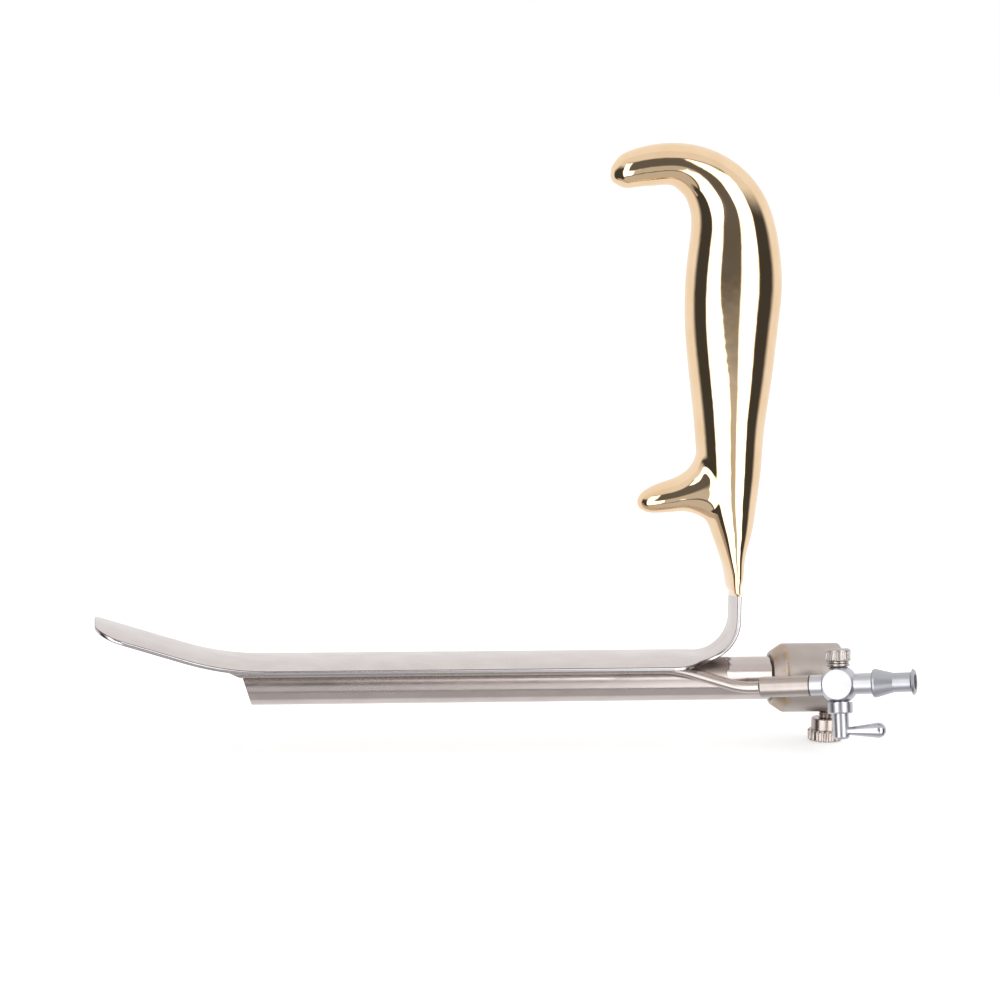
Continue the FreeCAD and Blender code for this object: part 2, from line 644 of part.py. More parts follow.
def make_lock_screw():
    body = new_body("lock_screw")
    tip = "0 - Sizes.socket_bore_radius - Sizes.lock_backset"
    collar = "0 - Sizes.socket_radius - Sizes.lock_opening"
    head = collar + " - Sizes.lock_collar_height"
    end = head + " - Sizes.lock_head_height"
    socket = tip + " - Sizes.pad_pin_length"
    pin = "Sizes.pad_pin_radius + Sizes.pad_gap"
    outline = polygon_sketch(body, "lock_outline", "XZ_Plane", [
        (pin, tip),
        ("Sizes.lock_thread_radius", tip),
        ("Sizes.lock_thread_radius", collar),
        ("Sizes.lock_collar_radius", collar),
        ("Sizes.lock_collar_radius", head),
        ("Sizes.lock_head_radius", head),
        ("Sizes.lock_head_radius", end),
        ("0", end),
        ("0", socket),
        (pin, socket),
    ])
    turned = revolve(body, "lock_turned", outline, "V_Axis")
    levels = lock_levels()
    axis = Vector(0.0, 0.0, 1.0)
    edges = ring_edges(turned, size("lock_head_radius"), axis, levels[3])
    edges += ring_edges(turned, size("lock_head_radius"), axis, levels[4])
    chamfered = soften(body, "lock_head_edges", turned, "Chamfer", edges,
                       "Sizes.lock_head_chamfer")
    edges = ring_edges(chamfered, size("lock_collar_radius"), axis, levels[2])
    soften(body, "lock_collar_edge", chamfered, "Chamfer", edges,
           "Sizes.lock_head_chamfer / 2")
    groove = circle_sketch(body, "lock_groove_outline", "XY_Plane", "Sizes.lock_head_radius", "0",
                           "Sizes.lock_knurl_depth")
    bind(groove, **{"AttachmentOffset.Base.z": head})
    cut = cut_through(body, "lock_groove", groove, "2 * Sizes.lock_head_height", midplane=False)
    repeat_round(body, "lock_knurls", cut, "Z_Axis", "Sizes.lock_knurls")
    body.Placement = lock_frame()
    return body


def make_lock_pad():
    body = new_body("lock_pad")
    face = "0 - Sizes.socket_bore_radius - Sizes.pad_gap"
    back = face + " - Sizes.pad_thickness"
    end = "0 - Sizes.socket_bore_radius - Sizes.lock_backset - Sizes.pad_pin_length"
    outline = polygon_sketch(body, "pad_outline", "XZ_Plane", [
        ("0", face),
        ("Sizes.pad_radius", face),
        ("Sizes.pad_radius", back),
        ("Sizes.pad_pin_radius", back),
        ("Sizes.pad_pin_radius", end + " + Sizes.pad_gap"),
        ("0", end + " + Sizes.pad_gap"),
    ])
    revolve(body, "pad_turned", outline, "V_Axis")
    body.Placement = lock_frame()
    return body


# Suction line

def suction_seat():
    """Side offset and height at which the suction tube touches both channel and blade."""
    gap = size("braze_gap")
    near = size("channel_outer_radius") + size("suction_radius") + gap
    arch_centre = size("channel_outer_radius") - size("blade_arch_radius")
    far = size("blade_arch_radius") - size("suction_radius") - gap
    height = (near ** 2 - far ** 2 + arch_centre ** 2) / (2.0 * arch_centre)
    return -math.sqrt(near ** 2 - height ** 2), height


def rounded_path(points, radius):
    """Straight runs through points, joined by tangent arcs of one radius."""
    edges = []
    here = points[0]
    for index in range(1, len(points) - 1):
        corner = points[index]
        into = (corner - points[index - 1]).normalize()
        out = (points[index + 1] - corner).normalize()
        half_turn = into.getAngle(out) / 2.0
        run = radius * math.tan(half_turn)
        start = corner - into * run
        end = corner + out * run
        inward = (out - into).normalize()
        middle = corner + inward * (radius / math.cos(half_turn) - radius)
        edges.append(Part.LineSegment(here, start).toShape())
        edges.append(Part.Arc(start, middle, end).toShape())
        here = end
    edges.append(Part.LineSegment(here, points[-1]).toShape())
    return Part.Wire(edges)


def suction_route():
    """Corners of the suction tube's axis from its tip to its end in the sleeve."""
    aside, height = suction_seat()
    frame = stopcock_frame()
    mouth = -size("inlet_reach") - size("sleeve_length")
    return [
        Vector(-size("suction_reach"), aside, height),
        Vector(-size("suction_bend_start"), aside, height),
        frame.multVec(Vector(mouth - size("suction_lead"), 0.0, 0.0)),
        frame.multVec(Vector(mouth + size("tube_insertion"), 0.0, 0.0)),
    ]


def pipe_along(route, radius, bend_radius):
    ring = Part.makeCircle(radius, route[0], route[1] - route[0])
    path = rounded_path(route, bend_radius)
    return path.makePipeShell([Part.Wire(ring)], True, True)


def make_suction_tube():
    route = suction_route()
    bend_radius = size("suction_bend_radius")
    outside = pipe_along(route, size("suction_radius"), bend_radius)
    inside = pipe_along(route, size("suction_bore_radius"), bend_radius)
    tube = outside.cut(inside)
    radius = size("suction_radius")
    tip = route[0] + Vector(0.0, 0.0, radius)
    bevel = Part.makeBox(CUT_MARGIN, CUT_MARGIN, CUT_MARGIN)
    lean = Rotation(Vector(0.0, 1.0, 0.0), size("suction_bevel"))
    bevel.Placement = Placement(tip, lean)
    bevel.translate(lean.multVec(Vector(0.0, -CUT_MARGIN / 2.0, -CUT_MARGIN)))
    return solid_piece("suction_tube", tube.cut(bevel).Solids[0])


def make_suction_sleeve():
    body = new_body("suction_sleeve")
    rear = "0 - Sizes.inlet_reach"
    front = rear + " - Sizes.sleeve_length"
    step = front + " + Sizes.tube_insertion"
    tube_bore = "Sizes.suction_radius + Sizes.braze_gap"
    spigot_bore = "Sizes.spigot_radius + Sizes.braze_gap"
    outline = polygon_sketch(body, "sleeve_outline", "XZ_Plane", [
        (front, tube_bore),
        (front, "Sizes.sleeve_radius"),
        (rear, "Sizes.sleeve_radius"),
        (rear, spigot_bore),
        (step, spigot_bore),
        (step, tube_bore),
    ])
    turned = revolve(body, "sleeve_turned", outline, "H_Axis")
    place = -size("inlet_reach") - size("sleeve_length")
    edges = ring_edges(turned, size("sleeve_radius"), Vector(1.0, 0.0, 0.0), place)
    soften(body, "sleeve_front", turned, "Fillet", edges, "Sizes.sleeve_round")
    body.Placement = stopcock_frame()
    return body


# Stopcock

def make_stopcock_body():
    ball = doc.addObject("Part::Sphere", "hub_ball")
    bind(ball, Radius="Sizes.hub_radius")
    spigot = "Sizes.inlet_reach + Sizes.spigot_length"
    tail = "Sizes.outlet_reach + Sizes.thread_length"
    necks = [
        ("inlet_neck", "Sizes.neck_radius", "Sizes.inlet_reach", -size("inlet_reach")),
        ("outlet_neck", "Sizes.neck_radius", "Sizes.outlet_reach", 0.0),
        ("inlet_spigot", "Sizes.spigot_radius", spigot,
         -size("inlet_reach") - size("spigot_length")),
        ("outlet_spigot", "Sizes.thread_radius", tail, 0.0),
    ]
    solids = [ball]
    for name, radius, length, start in necks:
        solids.append(cylinder(name, radius, length, along_x(start)))
    round_body = doc.addObject("Part::MultiFuse", "stopcock_round")
    round_body.Shapes = solids
    block = doc.addObject("Part::Box", "hub_block")
    bind(block, Length="%s + %s" % (spigot, tail), Width="2 * Sizes.hub_flat",
         Height="2 * Sizes.hub_seat")
    corner = Vector(-size("inlet_reach") - size("spigot_length"), -size("hub_flat"),
                    -size("hub_seat"))
    block.Placement = Placement(corner, Rotation())
    whole = doc.addObject("Part::Common", "stopcock_solid")
    whole.Base = round_body
    whole.Tool = block
    begin = -size("inlet_reach") - size("spigot_length")
    flow = cylinder("flow_passage", "Sizes.flow_radius", "%s + %s" % (spigot, tail),
                    along_x(begin))
    bore = doc.addObject("Part::Cone", "tap_bore")
    seat = "Sizes.hub_seat * Sizes.plug_taper"
    bind(bore, Radius1="Sizes.plug_radius + Sizes.plug_gap + %s" % seat,
         Radius2="Sizes.plug_radius + Sizes.plug_gap - %s" % seat,
         Height="4 * Sizes.hub_seat")
    bore.Placement = Placement(Vector(0.0, 0.0, -2.0 * size("hub_seat")), Rotation())
    tools = doc.addObject("Part::MultiFuse", "stopcock_hollows")
    tools.Shapes = [flow, bore]
    body = doc.addObject("Part::Cut", "stopcock_body")
    body.Label = "stopcock_body"
    body.Base = whole
    body.Tool = tools
    body.Placement = stopcock_frame()
    doc.recompute()
    return body


def make_outlet_connector():
    body = new_body("outlet_connector")
    front = "Sizes.outlet_reach"
    cone = front + " + Sizes.connector_land"
    waist = cone + " + Sizes.connector_cone"
    flange = waist + " + Sizes.connector_waist"
    end = flange + " + Sizes.luer_flange_width"
    bottom = end + " - Sizes.luer_bore_depth"
    spigot_end = front + " + Sizes.thread_length + Sizes.braze_gap"
    seat = "Sizes.thread_radius + Sizes.braze_gap"
    inner = "Sizes.luer_bore_radius - Sizes.luer_bore_depth * Sizes.luer_taper / 2"
    outline = polygon_sketch(body, "connector_outline", "XZ_Plane", [
        (front, seat),
        (front, "Sizes.connector_radius"),
        (cone, "Sizes.connector_radius"),
        (waist, "Sizes.connector_waist_radius"),
        (flange, "Sizes.connector_waist_radius"),
        (flange + " + Sizes.luer_flange_width / 2", "Sizes.luer_flange_radius"),
        (end, "Sizes.luer_flange_radius - Sizes.luer_flange_width / 2"),
        (end, "Sizes.luer_bore_radius"),
        (bottom, inner),
        (bottom, "Sizes.flow_radius"),
        (spigot_end, "Sizes.flow_radius"),
        (spigot_end, seat),
    ])
    turned = revolve(body, "connector_turned", outline, "H_Axis")
    edges = ring_edges(turned, size("connector_radius"), Vector(1.0, 0.0, 0.0),
                       size("outlet_reach"))
    soften(body, "connector_edge", turned, "Fillet", edges, "Sizes.connector_land * 0.6")
    body.Placement = stopcock_frame()
    return body


# Tap

def make_tap_key():
    body = new_body("tap_key")
    collar_top = "0 - Sizes.hub_seat - Sizes.seat_gap"
    collar_end = collar_top + " - Sizes.collar_height"
    stem_end = collar_end + " - Sizes.stem_length"
    stud_end = "Sizes.hub_seat + Sizes.stud_length"
    slope = "Sizes.plug_taper / 2"
    outline = polygon_sketch(body, "key_outline", "XZ_Plane", [
        ("0", stem_end),
        ("Sizes.stem_radius", stem_end),
        ("Sizes.stem_radius", collar_end),
        ("Sizes.collar_radius", collar_end),
        ("Sizes.collar_radius", collar_top),
        ("Sizes.plug_radius + (Sizes.hub_seat + Sizes.seat_gap) * " + slope, collar_top),
        ("Sizes.plug_radius - Sizes.hub_seat * " + slope, "Sizes.hub_seat"),
        ("Sizes.stud_radius", "Sizes.hub_seat"),
        ("Sizes.stud_radius", stud_end),
        ("0", stud_end),
    ])
    turned = revolve(body, "key_turned", outline, "V_Axis")
    axis = Vector(0.0, 0.0, 1.0)
    end = -size("hub_seat") - size("seat_gap") - size("collar_height")
    edges = ring_edges(turned, size("collar_radius"), axis, end)
    chamfered = soften(body, "collar_edge", turned, "Chamfer", edges, "Sizes.collar_chamfer")
    edges = ring_edges(chamfered, size("stem_radius"), axis, end - size("stem_length"))
    soften(body, "stem_edge", chamfered, "Chamfer", edges, "Sizes.stem_chamfer")
    port = circle_sketch(body, "port_outline", "YZ_Plane", "0", "0", "Sizes.flow_radius")
    cut_through(body, "port", port, "4 * Sizes.plug_radius")
    socket = circle_sketch(body, "lever_hole_outline", "YZ_Plane", "0",
                           collar_end + " - Sizes.lever_drop",
                           "Sizes.lever_tang_radius + Sizes.braze_gap")
    bind(socket, **{"AttachmentOffset.Base.z": "Sizes.stem_radius - Sizes.lever_tang_length"})
    cut_through(body, "lever_hole", socket, "2 * Sizes.stem_radius", midplane=False,
                backward=True)
    body.Placement = stopcock_frame()
    return body


def make_tap_lever():
    """A slim cone that ends in a ball, turned about its own length."""
    level = (-size("hub_seat") - size("seat_gap") - size("collar_height") - size("lever_drop"))
    ball = size("lever_end_radius")
    root = size("lever_root_radius")
    tang = size("lever_tang_radius")
    start = size("stem_radius") - size("lever_tang_length")
    face = math.sqrt(size("stem_radius") ** 2 - root ** 2)
    ball_x = size("lever_reach") - ball
    lean = math.asin((ball - root) / (ball_x - face))
    touch = Vector(ball_x - ball * math.sin(lean), 0.0, ball * math.cos(lean))
    rise = Vector(ball_x + ball * math.sin(math.pi / 4.0), 0.0, ball * math.cos(math.pi / 4.0))
    nose = Vector(size("lever_reach"), 0.0, 0.0)
    edges = [
        Part.LineSegment(Vector(start, 0.0, 0.0), Vector(start, 0.0, tang)),
        Part.LineSegment(Vector(start, 0.0, tang), Vector(face, 0.0, tang)),
        Part.LineSegment(Vector(face, 0.0, tang), Vector(face, 0.0, root)),
        Part.LineSegment(Vector(face, 0.0, root), touch),
        Part.Arc(touch, rise, nose),
        Part.LineSegment(nose, Vector(start, 0.0, 0.0)),
    ]
    outline = Part.Face(Part.Wire([edge.toShape() for edge in edges]))
    lever = outline.revolve(Vector(), Vector(1.0, 0.0, 0.0), 360.0)
    stem = Part.makeCylinder(size("stem_radius"), 4.0 * root, Vector(0.0, 0.0, -2.0 * root))
    tang_rod = Part.makeCylinder(tang, size("lever_tang_length"), Vector(start, 0.0, 0.0),
                                 Vector(1.0, 0.0, 0.0))
    lever = lever.cut(stem).fuse(tang_rod).removeSplitter()
    frame = stopcock_frame().multiply(Placement(Vector(0.0, 0.0, level), Rotation()))
    return solid_piece("tap_lever", lever.Solids[0], frame)


def make_tap_washer():
    body = new_body("tap_washer")
    low = "Sizes.hub_seat + Sizes.seat_gap"
    high = low + " + Sizes.washer_thickness"
    outline = polygon_sketch(body, "washer_outline", "XZ_Plane", [
        ("Sizes.stud_radius + Sizes.plug_gap", low),
        ("Sizes.washer_radius", low),
        ("Sizes.washer_radius", high),
        ("Sizes.stud_radius + Sizes.plug_gap", high),
    ])
    revolve(body, "washer_turned", outline, "V_Axis")
    body.Placement = stopcock_frame()
    return body


def make_tap_spring():
    """A cone spring that presses the nut and the washer apart."""
    body = new_body("tap_spring")
    low = "Sizes.hub_seat + Sizes.seat_gap + Sizes.washer_thickness"
    high = low + " + Sizes.spring_height"
    inner = "Sizes.stud_radius + 2 * Sizes.plug_gap"
    outline = polygon_sketch(body, "spring_outline", "XZ_Plane", [
        (inner, high + " - Sizes.spring_thickness"),
        ("Sizes.spring_radius", low),
        ("Sizes.spring_radius", low + " + Sizes.spring_thickness"),
        (inner, high),
    ])
    revolve(body, "spring_turned", outline, "V_Axis")
    body.Placement = stopcock_frame()
    return body


def make_tap_nut():
    body = new_body("tap_nut")
    low = "Sizes.hub_seat + Sizes.seat_gap + Sizes.washer_thickness + Sizes.spring_height"
    high = low + " + Sizes.nut_height"
    thread = "Sizes.stud_radius + Sizes.plug_gap"
    blind = "Sizes.hub_seat + Sizes.stud_length + Sizes.plug_gap"
    outline = polygon_sketch(body, "nut_outline", "XZ_Plane", [
        (thread, low),
        ("Sizes.nut_radius", low),
        ("Sizes.nut_radius", high),
        ("0", high),
        ("0", blind),
        (thread, blind),
    ])
    turned = revolve(body, "nut_turned", outline, "V_Axis")
    base = size("hub_seat") + size("seat_gap") + size("washer_thickness") + size("spring_height")
    edges = ring_edges(turned, size("nut_radius"), Vector(0.0, 0.0, 1.0),
                       base + size("nut_height"))
    soften(body, "nut_top", turned, "Fillet", edges, "Sizes.nut_round")
    groove = circle_sketch(body, "nut_groove_outline", "XY_Plane", "Sizes.nut_radius", "0",
                           "Sizes.nut_knurl_depth")
    bind(groove, **{"AttachmentOffset.Base.z": high})
    cut = cut_through(body, "nut_groove", groove, "2 * Sizes.nut_height", midplane=False)
    repeat_round(body, "nut_knurls", cut, "Z_Axis", "Sizes.nut_knurls")
    body.Placement = stopcock_frame()
    return body


# Checks and files

def check_document():
    for piece in doc.Objects:
        for word in ("Invalid", "Error"):
            if word in piece.State:
                raise ValueError(piece.Name + " is " + word)


def write_pieces(pieces):
    os.makedirs(PARTS_FOLDER, exist_ok=True)
    for piece in pieces:
        shape = piece.Shape
        if shape.isNull() or not shape.isValid():
            raise ValueError(piece.Label + " is not a valid solid")
        print("%-18s solids %d volume %9.1f" % (piece.Label, len(shape.Solids), shape.Volume))
        shape.exportStep(os.path.join(PARTS_FOLDER, piece.Label + ".step"))


fill_sheet()
sub_parts = [
    make_blade(),
    make_handle(),
    make_scope_tube(),
    make_scope_socket(),
    make_lock_screw(),
    make_lock_pad(),
    make_suction_tube(),
    make_suction_sleeve(),
    make_stopcock_body(),
    make_outlet_connector(),
    make_tap_key(),
    make_tap_lever(),
    make_tap_washer(),
    make_tap_spring(),
    make_tap_nut(),
]
doc.recompute()
check_document()
write_pieces(sub_parts)
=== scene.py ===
import math

import bpy
from mathutils import Matrix, Vector, noise


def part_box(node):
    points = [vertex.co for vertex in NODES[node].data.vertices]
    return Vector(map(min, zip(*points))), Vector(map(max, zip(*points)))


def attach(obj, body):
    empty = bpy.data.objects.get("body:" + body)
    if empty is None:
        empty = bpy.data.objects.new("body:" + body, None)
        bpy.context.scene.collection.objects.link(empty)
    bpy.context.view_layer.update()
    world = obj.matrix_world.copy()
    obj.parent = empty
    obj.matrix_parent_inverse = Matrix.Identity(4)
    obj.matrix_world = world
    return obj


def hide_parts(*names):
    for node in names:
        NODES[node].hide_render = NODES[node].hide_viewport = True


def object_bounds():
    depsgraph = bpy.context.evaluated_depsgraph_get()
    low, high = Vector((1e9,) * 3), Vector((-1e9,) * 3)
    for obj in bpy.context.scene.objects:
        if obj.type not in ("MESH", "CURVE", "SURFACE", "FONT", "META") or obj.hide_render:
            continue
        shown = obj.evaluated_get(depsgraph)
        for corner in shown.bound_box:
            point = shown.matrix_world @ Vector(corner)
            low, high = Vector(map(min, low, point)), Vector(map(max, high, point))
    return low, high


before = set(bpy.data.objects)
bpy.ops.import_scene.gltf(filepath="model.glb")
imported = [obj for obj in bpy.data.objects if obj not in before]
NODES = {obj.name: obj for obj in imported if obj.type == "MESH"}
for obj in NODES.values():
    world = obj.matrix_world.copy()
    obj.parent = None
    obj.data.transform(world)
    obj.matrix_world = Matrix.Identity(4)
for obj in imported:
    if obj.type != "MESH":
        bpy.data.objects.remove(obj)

# Looks of an endoscopic retractor on a pale floor. Metres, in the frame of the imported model: the
# origin is the centre of the scope socket's rear mouth, +X leads backward, +Z up to the handle.

MM = 0.001
WHITE = (1.0, 1.0, 1.0, 1.0)

# The photograph's camera
CAMERA_PLACE = (-0.20576, -0.87916, 0.17011)
CAMERA_FORWARD = (0.1224, 0.9834, -0.1339)
CAMERA_UP = (0.0035, 0.1344, 0.9909)
CAMERA_LENS = 117.18
CAMERA_SENSOR = 36.0

# Floor. Its grain, like every noise here, is given as scale and detail.
FLOOR_DROP = 0.2 * MM
FLOOR_SIZE = 40.0
FLOOR_GLOW = 0.47
FLOOR_TINTS = ((0.72, 0.72, 0.72, 1.0), (0.76, 0.76, 0.76, 1.0))
FLOOR_GRAIN = (900.0, 4.0)

# The studio as the metal shows it. Azimuths are degrees from the camera's direction, positive to
# its right, heights are degrees above the horizon, and a light of 1 is white.
BACKDROP_EDGES = (88.0, 106.0)
BACKDROP_LIGHT = 1.0
LEFT_BOX = (-55.0, -24.0)
LEFT_BOX_FOOT = -2.0
RIGHT_BOX = (18.5, 55.0)
RIGHT_BOX_UPPER = 14.5
UPPER_HEIGHTS = (4.0, 14.0)
BOX_LIGHT = 2.5
BOX_HEIGHTS = (-36.0, 43.0)
GAP_LIGHT = 0.14
SIDE_LIGHT = 0.06
SIDE_HEIGHTS = (12.0, 34.0)
CEILING_LIGHT = 0.9
CEILING_HEIGHTS = (42.0, 52.0)
TABLE_LIGHT = 0.6
TABLE_HEIGHTS = (-1.0, -11.0)
TABLE_LINE = (-42.0, -37.0)
DEEP_HEIGHTS = (-46.0, -58.0)
EDGE_BLUR = 2.5

# Clouds of tint and roughness on every finish, and the stretch of a brushed one's grain along X
CLOUDS = (110.0, 4.0)
CLOUD_RANGE = (0.35, 0.65)
BRUSHED = (0.06, 1.0, 1.0)

# Skin of the gold handle, and the pull of the blade's broad faces on its shading
SKIN_GRAIN = 0.4 * MM
SKIN_RELAX = 0.5
SKIN_PASSES = 16
FACE_WEIGHT = 100

# Lower edge of the plating on the tang, which drops towards the far side
PLATING_LEVEL = 23.3 * MM
PLATING_SLOPE = 0.13
PLATING_BLUR = 0.1 * MM
PLATING_ROUGHNESS = 0.07

# Rim of the blade, by how far a face looks aside: a painted dark line of shade, then the polished
# edge
RIM_SHADE_LINE = (0.47, 0.78)
RIM_EDGE = (0.78, 0.90)
RIM_BLUR = 0.08
RIM_ROUGHNESS = 0.17
TIP_REACH = -190.0 * MM
TIP_BLUR = 1.0 * MM

# Painted shade on the top of the tube under the blade's bend, tinted like a braze stain, from the
# socket's rear mouth, and its dark outline
STAIN_AND_SHADE_REACH = (-64.0 * MM, -32.4 * MM)
STAIN_AND_SHADE_HEIGHTS = (0.8 * MM, 3.2 * MM)
STAIN_AND_SHADE_WANDER = 5.0 * MM
STAIN_AND_SHADE_WAVES = (420.0, 3.0)
STAIN_AND_SHADE_BLUR = 1.0 * MM
STAIN_AND_SHADE_SHARE = 0.75
STAIN_AND_SHADE_ROUGHNESS = 0.4
OUTLINE_HALF = 0.3 * MM
OUTLINE_BLUR = 0.2 * MM
OUTLINE_SHARE = 0.7

# Heat tint on the socket's shoulder
HEAT_REACH = (-19.9 * MM, -15.6 * MM)
HEAT_PATCHES = (300.0, 3.0)
HEAT_RANGE = (0.42, 0.6)
HEAT_BLUR = 1.0 * MM
HEAT_SHARE = 0.55

# Stopcock: its middle, the direction of its flow, and the sleeve's seam before that middle
HUB = (-5.65 * MM, -25.0 * MM, 2.75 * MM)
FLOW_AXIS = (0.90854, -0.40451, 0.10453)
SOLDER_REACH = (-8.2 * MM, -7.7 * MM)
SOLDER_BLUR = 0.08 * MM
SOLDER_SHARE = 0.85
SOLDER_ROUGHNESS = 0.5

# Nut and rings of the tap, measured from the stopcock's middle along the tap's axis
TAP_AXIS = (-0.0234117, 0.2005052, 0.9794129)
STUD_RADIUS = 1.24 * MM
STUD_END = 9.44 * MM
RINGS_FOOT = 4.85 * MM
RINGS = ((5.27 * MM, 3.15 * MM, 0.40 * MM), (5.97 * MM, 2.95 * MM, 0.30 * MM))
RINGS_NECK = 2.6 * MM
NUT_FOOT = 6.3 * MM
NUT_TOP = 9.8 * MM
NUT_RADIUS = 3.5 * MM
NUT_DOME = 0.9 * MM
NUT_CHAMFER = 0.4 * MM
NUT_RIBS = 30
NUT_RIB_DEPTH = 0.2 * MM
TAP_STEPS = NUT_RIBS * 10
ARC_STEPS = 8

# Braze seam where the tube enters the socket. Its section goes ahead of the socket and out from
# the tube, in shares of its width.
SOCKET_FRONT = -19.7 * MM
TUBE_RADIUS = 6.0 * MM
SEAM_WIDTH = 0.55 * MM
SEAM_UNEVENNESS = 0.7
SEAM_STEPS = 120
SEAM_WAVES = 3.0
SEAM_SECTION = ((1.0, 0.0), (0.45, 0.18), (0.15, 0.5), (0.0, 1.0), (0.0, 0.0), (1.0, 0.0))

# Thumb screw, from its end upwards
SCREW_HEAD_HEIGHT = 3.1 * MM
SCREW_COLLAR_HEIGHT = 3.2 * MM
SCREW_COLLAR_RADIUS = 3.95 * MM
SCREW_CHAMFER = 0.45 * MM
SCREW_RIBS = 22
SCREW_RIB_DEPTH = 0.42 * MM
THREAD_RADIUS = 2.0 * MM
THREAD_DEPTH = 0.38 * MM
THREAD_PITCH = 0.7 * MM
THREAD_STEPS = 10
SCREW_STEPS = SCREW_RIBS * 12
PIN_HOLE_RADIUS = 0.75 * MM
PIN_HOLE_DEPTH = 1.4 * MM

# Pieces made here
SHARP_ANGLE = 32.0
WELD_REACH = 0.001 * MM


# Node helpers

class Tree:
    """Short calls for building one node tree."""

    def __init__(self, tree):
        self.tree = tree
        self.tree.nodes.clear()

    def node(self, kind, **settings):
        made = self.tree.nodes.new(kind)
        for name, value in settings.items():
            setattr(made, name, value)
        return made

    def join(self, source, target):
        self.tree.links.new(source, target)

    def feed(self, socket, value):
        """Connects a socket, or sets its own value."""
        if isinstance(value, bpy.types.NodeSocket):
            self.join(value, socket)
        else:
            socket.default_value = value

    def math(self, operation, first, second=0.0, third=0.0):
        made = self.node("ShaderNodeMath", operation=operation)
        self.feed(made.inputs[0], first)
        self.feed(made.inputs[1], second)
        self.feed(made.inputs[2], third)
        return made.outputs[0]

    def ramp(self, value, low, high, to_low=0.0, to_high=1.0, kind="SMOOTHSTEP"):
        made = self.node("ShaderNodeMapRange", interpolation_type=kind)
        self.feed(made.inputs["Value"], value)
        self.feed(made.inputs["From Min"], low)
        self.feed(made.inputs["From Max"], high)
        self.feed(made.inputs["To Min"], to_low)
        self.feed(made.inputs["To Max"], to_high)
        return made.outputs["Result"]

    def band(self, value, low, high, blur):
        """1 between two values and 0 outside them, with soft edges."""
        rise = self.ramp(value, low - blur, low + blur)
        fall = self.ramp(value, high - blur, high + blur)
        return self.math("SUBTRACT", rise, fall)

    def blend(self, share, first, second):
        """A plain number between two others."""
        made = self.node("ShaderNodeMix", data_type="FLOAT")
        self.feed(made.inputs[0], share)
        self.feed(made.inputs[2], first)
        self.feed(made.inputs[3], second)
        return made.outputs[0]

    def mix(self, share, first, second):
        """A colour between two others."""
        made = self.node("ShaderNodeMix", data_type="RGBA")
        self.feed(made.inputs[0], share)
        self.feed(made.inputs[6], first)
        self.feed(made.inputs[7], second)
        return made.outputs[2]

    def split(self, vector):
        made = self.node("ShaderNodeSeparateXYZ")
        self.join(vector, made.inputs[0])
        return made.outputs

    def noise(self, vector, scale, detail=3.0, stretch=None):
        if stretch is not None:
            mapping = self.node("ShaderNodeMapping")
            mapping.inputs["Scale"].default_value = stretch
            self.join(vector, mapping.inputs["Vector"])
            vector = mapping.outputs["Vector"]
        made = self.node("ShaderNodeTexNoise")
        made.inputs["Scale"].default_value = scale
        made.inputs["Detail"].default_value = detail
        self.join(vector, made.inputs["Vector"])
        return made.outputs["Fac"]


def new_material(name):
    material = bpy.data.materials.new(name)
    material.use_nodes = True
    return material, Tree(material.node_tree)


def rgb(red, green, blue):
    """A colour from its displayed values, from 0 to 255."""

    def linear(value):
        share = value / 255.0
        return share / 12.92 if share <= 0.04045 else ((share + 0.055) / 1.055) ** 2.4

    return (linear(red), linear(green), linear(blue), 1.0)


# Camera, floor and light

def make_camera():
    data = bpy.data.cameras.new("photo_camera")
    data.lens = CAMERA_LENS
    data.sensor_width = CAMERA_SENSOR
    data.clip_start = 0.01
    data.clip_end = 100.0
    camera = bpy.data.objects.new("photo_camera", data)
    forward = Vector(CAMERA_FORWARD).normalized()
    right = forward.cross(Vector(CAMERA_UP)).normalized()
    up = right.cross(forward)
    turn = Matrix((right, up, -forward)).transposed()
    camera.matrix_world = Matrix.Translation(CAMERA_PLACE) @ turn.to_4x4()
    bpy.context.scene.collection.objects.link(camera)
    bpy.context.scene.camera = camera


def make_floor(level):
    """Pale paper that keeps the shadow. The metal shows the studio's own table instead of it."""
    half = FLOOR_SIZE / 2.0
    corners = [Vector((x, y, level)) for x, y in ((-half, -half), (half, -half), (half, half),
                                                  (-half, half))]
    mesh = bpy.data.meshes.new("floor")
    mesh.from_pydata(corners, [], [(0, 1, 2, 3)])
    floor = bpy.data.objects.new("floor", mesh)
    bpy.context.scene.collection.objects.link(floor)
    material, tree = new_material("floor_paper")
    place = tree.node("ShaderNodeTexCoord").outputs["Object"]
    path = tree.node("ShaderNodeLightPath")
    paper = tree.node("ShaderNodeBsdfDiffuse")
    tree.join(tree.mix(tree.noise(place, *FLOOR_GRAIN), *FLOOR_TINTS), paper.inputs["Color"])
    glow = tree.node("ShaderNodeEmission")
    glow.inputs["Color"].default_value = WHITE
    tree.join(tree.math("MULTIPLY", path.outputs["Is Camera Ray"], FLOOR_GLOW),
              glow.inputs["Strength"])
    seen = tree.node("ShaderNodeAddShader")
    tree.join(paper.outputs[0], seen.inputs[0])
    tree.join(glow.outputs[0], seen.inputs[1])
    unseen = tree.node("ShaderNodeBsdfTransparent")
    shown = tree.node("ShaderNodeMixShader")
    tree.join(path.outputs["Is Glossy Ray"], shown.inputs[0])
    tree.join(seen.outputs[0], shown.inputs[1])
    tree.join(unseen.outputs[0], shown.inputs[2])
    out = tree.node("ShaderNodeOutputMaterial")
    tree.join(shown.outputs[0], out.inputs["Surface"])
    mesh.materials.append(material)


